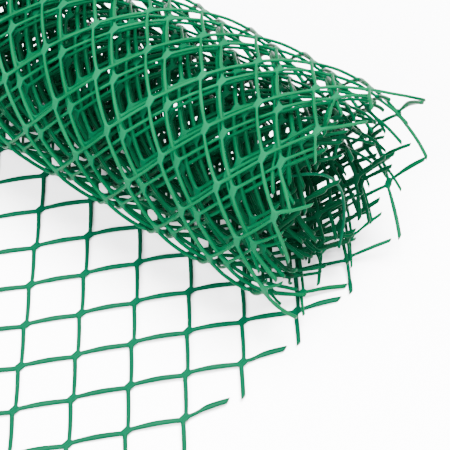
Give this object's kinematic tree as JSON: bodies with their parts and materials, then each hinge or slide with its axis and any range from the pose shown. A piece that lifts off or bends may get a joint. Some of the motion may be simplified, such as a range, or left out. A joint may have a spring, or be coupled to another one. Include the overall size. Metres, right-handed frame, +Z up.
{
  "type": "roll of plastic garden mesh",
  "caption": "Roll of green extruded plastic garden mesh with diamond openings, lying on its side with its free end laid flat in front and its bore open right through.",
  "frame": {"origin": "on the floor under the middle of the whole object, roll and laid end together", "axes": "+X along the roll, towards the end whose cut strands the picture shows; -Y from the roll towards the laid free end; +Z up"},
  "size_m": [1, 0.403, 0.166],
  "materials": {
    "green_plastic": "satin emerald green polyethylene, extruded, with soft highlights along the strands"
  },
  "bodies": {
    "root": {"garden_mesh": "green_plastic"}
  },
  "joints": []
}
